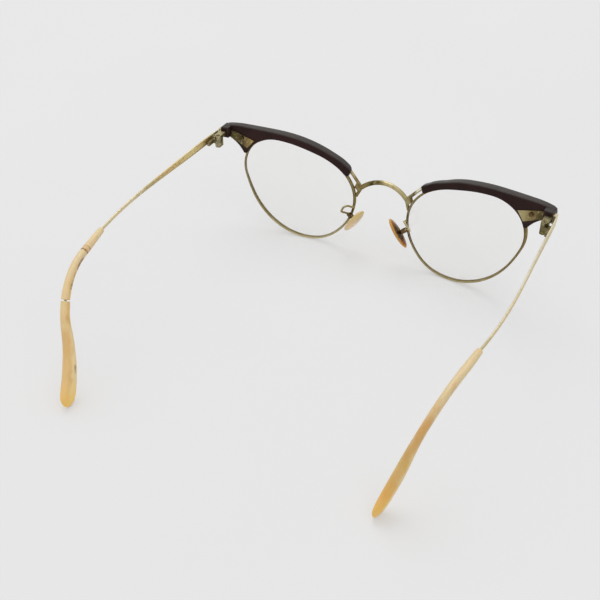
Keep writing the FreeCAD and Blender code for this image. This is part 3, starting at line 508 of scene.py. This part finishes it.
def gold_filled(name, which, tones, glance, under=None):
    """Gold filled metal toned along the piece, partly in painted light and shade, with dull olive blotches,
    pits and wear streaks.
    """
    finish, tree, shader = new_finish(name)
    spot = place(tree)
    base = toned(tree, spot, which, tones, wander(tree, cloud(tree, spot, 330.0), 0.05))
    patches = cloud(tree, spot, 800.0, 5.0, 0.62)
    specks = cloud(tree, spot, 2800.0)
    base = mixed(tree, span(tree, patches, 0.50, 0.70, 0.0, 0.3, True), base, seen(DULL_BLOTCH))
    base = mixed(tree, span(tree, patches, 0.46, 0.30, 0.0, 0.3, True), base, seen(RUBBED_SPOT))
    base = mixed(tree, span(tree, specks, 0.62, 0.74, 0.0, 0.45), base, seen(PIT))
    # Painted shade along the lower side of the temple bars
    if under:
        top, tone = under
        height = axis(tree, spot, Z)
        below = span(tree, height, top * MM, (top - UNDERSIDE_FADE) * MM, 0.0, 0.6, True)
        base = mixed(tree, below, base, seen(tone))
    feed(tree, shader.inputs["Base Color"], base)
    feed(tree, shader.inputs["Roughness"], span(tree, patches, 0.35, 0.65, 0.26, 0.46))
    streaks = cloud(tree, stretched(tree, spot, (1.0, 0.12, 1.0)), 3800.0, 2.0)
    feed(tree, shader.inputs["Normal"], relief(tree, sums(tree, "ADD", streaks, patches), 0.03 * MM, 0.4))
    shader.inputs["Metallic"].default_value = 1.0
    shader.inputs["Specular Tint"].default_value = (*seen(glance), 1)
    return finish


def brow_celluloid():
    """Polished very dark brown plastic with a faint purple cloud and fine scuffs, and a painted grey sheen
    of top light on its top.
    """
    finish, tree, shader = new_finish("brow_celluloid")
    spot = place(tree)
    clouds = cloud(tree, spot, 120.0, 4.0)
    scuffs = cloud(tree, stretched(tree, spot, (0.25, 1.0, 1.0)), 1700.0, 4.0, 0.6)
    fine = cloud(tree, spot, 1500.0)
    top_light_share = add(tree, "ShaderNodeAttribute", attribute_name="top_light").outputs["Fac"]
    base = ramp(tree, clouds, (0.35, CELLULOID_DARK), (0.65, CELLULOID_LIGHT))
    top_sheen = ramp(tree, scuffs, (0.35, TOP_SHEEN_DARK), (0.70, TOP_SHEEN_LIGHT))
    # Painted top light: a grey sheen where the brow faces upwards
    base = mixed(tree, times(tree, top_light_share, between(tree, clouds, 0.75, 1.0)), base, top_sheen)
    base = mixed(tree, span(tree, scuffs, 0.62, 0.80, 0.0, 0.2), base, seen(SCUFF))
    feed(tree, shader.inputs["Base Color"], base)
    feed(tree, shader.inputs["Roughness"], between(tree, fine, 0.30, 0.45))
    feed(tree, shader.inputs["Normal"], relief(tree, scuffs, 0.03 * MM, 0.2))
    shader.inputs["IOR"].default_value = REFRACTION
    shader.inputs["Specular IOR Level"].default_value = 0.15
    return finish


def lens_glass():
    """Clear polished glass that lets lamps through to the table."""
    finish, tree, shader = new_finish("lens_glass")
    film = cloud(tree, place(tree), 90.0)
    feed(tree, shader.inputs["Base Color"], mottled(tree, film, GLASS_DIM, GLASS_CLEAR))
    feed(tree, shader.inputs["Roughness"], between(tree, film, 0.0, 0.02))
    shader.inputs["Transmission Weight"].default_value = 1.0
    shader.inputs["IOR"].default_value = REFRACTION
    through = add(tree, "ShaderNodeBsdfTransparent")
    through.inputs["Color"].default_value = GLASS_SHADE
    path = add(tree, "ShaderNodeLightPath")
    show_both(tree, path.outputs["Is Shadow Ray"], shader, through)
    return finish


def ground_edge():
    """The lens's ground edge, dull, with the rim's gold painted in as its reflection."""
    finish, tree, shader = new_finish("ground_edge")
    spot = place(tree)
    grit = cloud(tree, spot, 2600.0)
    base = mottled(tree, cloud(tree, spot, 300.0), seen(EDGE_DARK), seen(EDGE_LIGHT))
    base = mixed(tree, span(tree, grit, 0.5, 0.8, 0.0, 0.4), base, seen(EDGE_GRIT))
    feed(tree, shader.inputs["Base Color"], base)
    feed(tree, shader.inputs["Roughness"], between(tree, grit, 0.5, 0.7))
    feed(tree, shader.inputs["Normal"], relief(tree, grit, 0.02 * MM, 0.4))
    shader.inputs["Specular IOR Level"].default_value = 0.2
    return finish


def side_tints(tree, base, zone, out, tint):
    """Amber towards one side of the tip and cream towards the other, within a zone."""
    amber_at, middle, cream_at = tint
    amber = span(tree, out, middle * MM, amber_at * MM, 0.0, 0.45, True)
    cream = span(tree, out, middle * MM, cream_at * MM, 0.0, 0.5, True)
    base = mixed(tree, times(tree, zone, amber), base, seen(AMBER_SIDE))
    return mixed(tree, times(tree, zone, cream), base, seen(CREAM_SIDE))


def crack_marks(tree, spot, base, bend_out):
    """The crack's two brown lines with a flush between them, and the splits behind it."""
    run = along(tree, from_point(tree, spot, CRACK_AT), CRACK_WAY)
    ragged = sums(tree, "ADD", run, wander(tree, cloud(tree, spot, RAGGED_GRAIN), CRACK_RAGGED))
    for at, half, depth in CRACK_LINES:
        line = span(tree, away(tree, ragged, at * MM), half * MM, CRACK_CORE, 0.0, depth, True)
        base = mixed(tree, line, base, seen(CRACK_BROWN))
    flush = span(tree, away(tree, run, FLUSH_AT), FLUSH_HALF, FLUSH_CORE, 0.0, 0.4, True)
    base = mixed(tree, flush, base, seen(CRACK_FLUSH))
    flecks = cloud(tree, stretched(tree, spot, (0.3, 1.0, 1.0)), 420.0)
    splits = times(
        tree,
        span(tree, bend_out, SPLIT_SIDE, SPLIT_SIDE_FULL, 0.0, 1.0, True),
        span(tree, flecks, 0.46, 0.55, 0.0, 0.8),
        span(tree, run, SPLIT_START, SPLIT_START_FULL),
        span(tree, run, SPLIT_END, SPLIT_END_FULL))
    return mixed(tree, splits, base, seen(SPLIT_BROWN))


def bruised(tree, spot, base):
    """The brown bruise with its ragged outline."""
    arm = from_point(tree, spot, BRUISE_AT)
    run = sums(tree, "ABSOLUTE", sums(tree, "DIVIDE", along(tree, arm, BRUISE_WAY), BRUISE_LONG))
    off = sums(tree, "DIVIDE", beside_line(tree, arm, BRUISE_WAY), BRUISE_WIDE)
    ragged = wander(tree, cloud(tree, spot, RAGGED_GRAIN), BRUISE_RAGGED)
    reach = sums(tree, "ADD", sums(tree, "ADD", run, off), ragged)
    return mixed(tree, span(tree, reach, 1.2, 0.4, 0.0, 0.75, True), base, seen(BRUISE_BROWN))


def honey_tip(name, tones, bend, curl, way, bend_tint, curl_tint, end_glow, cracked=False):
    """Translucent honey plastic, streaked, with an amber side, a creamy side and a glowing end."""
    finish, tree, shader = new_finish(name)
    spot = place(tree)
    streaks = cloud(tree, stretched(tree, spot, (1.0, 0.16, 0.22)), 620.0, 4.0)
    base = toned(tree, spot, Z, tones, wander(tree, cloud(tree, spot, 170.0), 0.04))
    base = mixed(tree, span(tree, streaks, 0.46, 0.68, 0.0, 0.35), base, seen(CREAM_STREAK))
    base = mixed(tree, span(tree, streaks, 0.44, 0.28, 0.0, 0.40), base, seen(AMBER_STREAK))
    sway = wander(tree, cloud(tree, spot, 260.0), 0.6 * MM)
    bend_out = sums(tree, "ADD", outside_bend(tree, spot, bend, way, BEND_RADIUS), sway)
    curl_out = sums(tree, "ADD", outside_bend(tree, spot, curl, way, CURL_RADIUS), sway)
    height = axis(tree, spot, Z)
    paddle = span(tree, height, PADDLE_TOP, PADDLE_FULL, 0.0, 1.0, True)
    crook = span(tree, height, PADDLE_FULL, PADDLE_TOP, 0.0, 1.0, True)
    crook = times(tree, crook, span(tree, height, CROOK_TOP, CROOK_FULL))
    base = side_tints(tree, base, crook, bend_out, bend_tint)
    base = side_tints(tree, base, paddle, curl_out, curl_tint)
    glow = span(tree, height, GLOW_TOP, GLOW_FULL, 0.0, end_glow, True)
    base = mixed(tree, glow, base, seen(GLOWING_AMBER))
    if cracked:
        base = crack_marks(tree, spot, base, bend_out)
        base = bruised(tree, spot, base)
    feed(tree, shader.inputs["Base Color"], base)
    feed(tree, shader.inputs["Roughness"], between(tree, streaks, 0.28, 0.42))
    feed(tree, shader.inputs["Normal"], relief(tree, streaks, 0.04 * MM, 0.3))
    shader.inputs["IOR"].default_value = REFRACTION
    translucent(shader, 0.3, 1.2 * MM)
    return finish


def amber_pad(name, tones, middle, way, rim_tone, rim_share):
    """Translucent pad plastic, darker over its core, where the metal core and painted shade show through,
    and clearer at its thin rim.
    """
    finish, tree, shader = new_finish(name)
    spot = place(tree)
    clouds = cloud(tree, spot, 520.0, 4.0)
    waver = wander(tree, clouds, 0.08)
    base = toned(tree, spot, Z, tones, waver)
    arm = from_point(tree, spot, middle)
    run = sums(tree, "DIVIDE", along(tree, arm, way), PAD_HALF_LONG)
    off = sums(tree, "DIVIDE", beside_line(tree, arm, way), PAD_HALF_WIDE)
    reach = sums(tree, "SQRT", sums(tree, "ADD", times(tree, run, run), times(tree, off, off)))
    reach = sums(tree, "ADD", reach, waver)
    base = mixed(tree, span(tree, reach, 0.80, 1.04, 0.0, rim_share, True), base, seen(rim_tone))
    feed(tree, shader.inputs["Base Color"], base)
    feed(tree, shader.inputs["Roughness"], between(tree, clouds, 0.2, 0.34))
    feed(tree, shader.inputs["Normal"], relief(tree, clouds, 0.03 * MM, 0.3))
    shader.inputs["Specular IOR Level"].default_value = 0.24
    translucent(shader, 0.15, 0.8 * MM)
    return finish


def merged_copy(node):
    form = bmesh.new()
    form.from_mesh(nodes[node].data)
    bmesh.ops.remove_doubles(form, verts=form.verts, dist=SEAM)
    return form


def smooth_shade(form, sharp):
    for face in form.faces:
        face.smooth = True
    for edge in form.edges:
        edge.smooth = edge.calc_face_angle(0.0) < math.radians(sharp)


def put_skin(node, form, slot, *coats):
    """Show the form in place of the front's solid it was copied from."""
    mesh = bpy.data.meshes.new(node + "_skin")
    form.to_mesh(mesh)
    form.free()
    if "custom_normal" in mesh.attributes:
        mesh.attributes.remove(mesh.attributes["custom_normal"])
    for coat in coats:
        mesh.materials.append(coat)
    skin = bpy.data.objects.new(node + "_skin", mesh)
    bpy.context.scene.collection.objects.link(skin)
    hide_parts(node)
    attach(skin, "front")


def facing_up(point, low, high):
    """How far the surface turns upwards at a point, from nought at low to one at high."""
    return clamped((point.normal.z - low) / (high - low))


def round_nose(form, end, way, swell):
    """Round the brow's nose end over, and fill out its top a little behind the end."""
    for point in form.verts:
        arm = point.co - end
        ahead = arm.dot(way)
        side = arm - way * ahead
        back = -ahead / MM
        growing = (back - SWELL_FROM) / (SWELL_TOP - SWELL_FROM)
        fading = (SWELL_TO - back) / (SWELL_TO - SWELL_TOP)
        rise = min(growing, fading)
        if rise > 0:
            top = facing_up(point, SWELL_TURN, SWELL_TURN_FULL)
            point.co.z += swell * MM * top * rise * rise * (3 - 2 * rise)
        reach = side.length / MM
        turn = (NOSE_ROUND - back) / NOSE_ROUND
        if turn > 0 and reach < NOSE_REACH:
            outer = clamped((reach - NOSE_CORE) / NOSE_BLEND)
            point.co -= side * NOSE_TAPER * outer * min(turn, 1.0) ** NOSE_POWER


def brow_skin(node, end, way, swell, coat):
    """The brow with a smooth polish and its nose end rounded over, as celluloid is after long handling."""
    form = merged_copy(node)
    for back in NOSE_CUTS:
        bmesh.ops.bisect_plane(
            form, geom=form.verts[:] + form.edges[:] + form.faces[:], dist=CUT_SNAP,
            plane_co=end - way * back * MM, plane_no=way)
    form.normal_update()
    round_nose(form, end, way, swell)
    smooth_shade(form, BROW_SHARP)
    form.normal_update()
    # Painted top light: how far each point faces upwards, for the brow's painted grey sheen
    top_light = form.verts.layers.float.new("top_light")
    for point in form.verts:
        point[top_light] = facing_up(point, TOP_LIGHT_TURN, TOP_LIGHT_TURN_FULL)
    put_skin(node, form, "brow_plastic", coat)


def lens_skin(node, face_coat, edge_coat):
    """The lens with clear faces and a dull ground edge."""
    form = merged_copy(node)
    front = Vector()
    for face in form.faces:
        if face.normal.y < FORWARDS:
            front += face.normal * face.calc_area()
    front.normalize()
    for face in form.faces:
        face.material_index = 0 if abs(face.normal.dot(front)) > POLISHED else 1
    smooth_shade(form, LENS_SHARP)
    put_skin(node, form, "lens_glass", face_coat, edge_coat)


def table():
    """A wide pale table that fades into the backdrop and keeps the glasses' soft shadow."""
    mesh = bpy.data.meshes.new("table")
    form = bmesh.new()
    bmesh.ops.create_grid(form, x_segments=2, y_segments=2, size=TABLE_HALF)
    bmesh.ops.translate(form, verts=form.verts, vec=(0, 0, -TABLE_DROP))
    form.to_mesh(mesh)
    form.free()
    top = bpy.data.objects.new("table", mesh)
    bpy.context.scene.collection.objects.link(top)
    finish, tree, shader = new_finish("table_top")
    spot = place(tree)
    base = mottled(tree, cloud(tree, spot, 6.0, 2.0), seen(TABLE_DIM), seen(TABLE_BRIGHT))
    feed(tree, shader.inputs["Base Color"], base)
    shader.inputs["Roughness"].default_value = 0.6
    shader.inputs["Specular IOR Level"].default_value = 0.2
    glow = add(tree, "ShaderNodeEmission")
    glow.inputs["Color"].default_value = (*seen(BACKDROP), 1)
    far = span(tree, length_of(tree, spot), FADE_FROM, FADE_TO, NEAR_SHARE, 1.0, True)
    show_both(tree, times(tree, eye_rays(tree), far), shader, glow)
    mesh.materials.append(finish)


def sky():
    """Room light that grows with height, and the plain backdrop where the camera sees it."""
    world = bpy.data.worlds.new("studio")
    bpy.context.scene.world = world
    world.use_nodes = True
    tree = world.node_tree
    back = tree.nodes["Background"]
    way = add(tree, "ShaderNodeTexCoord").outputs["Generated"]
    rise = span(tree, axis(tree, way, Z), -1.0, 1.0)
    lit = ramp(tree, rise, *[(at, (light,) * 3) for at, light in SKY_LIGHT])
    shown = ramp(tree, rise, (0.0, seen(BACKDROP)), (SEEN_LEVEL, seen(BACKDROP)), (1.0, (SEEN_TOP,) * 3))
    feed(tree, back.inputs["Color"], mixed(tree, eye_rays(tree), lit, shown))
    back.inputs["Strength"].default_value = 1.0


def stood(name, data, at, look):
    """A lamp or a camera at its place, turned towards what it looks at."""
    stand = bpy.data.objects.new(name, data)
    stand.location = at
    stand.rotation_euler = (look - at).to_track_quat("-Z", "Y").to_euler()
    bpy.context.scene.collection.objects.link(stand)
    return stand


def softbox(name, at, side, watts):
    """A square soft lamp that faces the middle of the table."""
    lamp = bpy.data.lights.new(name, "AREA")
    lamp.shape = "RECTANGLE"
    lamp.size = side
    lamp.size_y = side
    lamp.energy = watts
    stood(name, lamp, at, Vector())


def camera():
    """The photograph's point of view."""
    lens = bpy.data.cameras.new("camera")
    lens.lens = CAMERA_LENS
    lens.sensor_width = CAMERA_SENSOR
    lens.sensor_fit = "HORIZONTAL"
    lens.clip_start = 0.01
    bpy.context.scene.camera = stood("camera", lens, CAMERA_AT, CAMERA_LOOK)


# A finish for every piece
celluloid = brow_celluloid()
glass = lens_glass()
left_honey = honey_tip(
    "left_tip_honey", LEFT_TIP_TONES, LEFT_BEND, LEFT_CURL, LEFT_BEND_AXIS,
    LEFT_BEND_TINT, LEFT_CURL_TINT, LEFT_END_GLOW, cracked=True)
right_honey = honey_tip(
    "right_tip_honey", RIGHT_TIP_TONES, RIGHT_BEND, RIGHT_CURL, RIGHT_BEND_AXIS,
    RIGHT_BEND_TINT, RIGHT_CURL_TINT, RIGHT_END_GLOW)
left_amber = amber_pad(
    "left_pad_amber", LEFT_PAD_TONES, PAD_AT, PAD_LONG, PAD_RIM, LEFT_RIM_SHARE)
right_amber = amber_pad(
    "right_pad_amber", RIGHT_PAD_TONES, PAD_AT * MIRROR, PAD_LONG * MIRROR, AMBER_RIM, RIGHT_RIM_SHARE)
finishes = {
    "left_lens": glass,
    "right_lens": glass,
    "left_brow": celluloid,
    "right_brow": celluloid,
    "left_tip_front": left_honey,
    "left_tip_middle": left_honey,
    "left_tip_rear": left_honey,
    "right_tip": right_honey,
    "left_nose_pad": left_amber,
    "right_nose_pad": right_amber,
}
for node, (which, tones) in METAL_TONES.items():
    glance = RIM_GLANCE if "eyewire" in node else METAL_GLANCE
    finishes[node] = gold_filled(node + "_gold", which, tones, glance, UNDERSIDE.get(node))
for node, piece in nodes.items():
    piece.data.materials.clear()
    piece.data.materials.append(finishes[node])

# Lenses with ground edges and brows with ends rounded by handling, in place of their solids
edge_finish = ground_edge()
lens_skin("left_lens", glass, edge_finish)
lens_skin("right_lens", glass, edge_finish)
brow_skin("left_brow", LEFT_NOSE_END, LEFT_NOSE_WAY, LEFT_SWELL, celluloid)
brow_skin("right_brow", RIGHT_NOSE_END, RIGHT_NOSE_WAY, RIGHT_SWELL, celluloid)

# The studio
bpy.context.scene.view_settings.view_transform = "Standard"
table()
sky()
softbox("window_light", WINDOW_AT, WINDOW_SIDE, WINDOW_WATTS)
softbox("fill_light", FILL_AT, FILL_SIDE, FILL_WATTS)
camera()
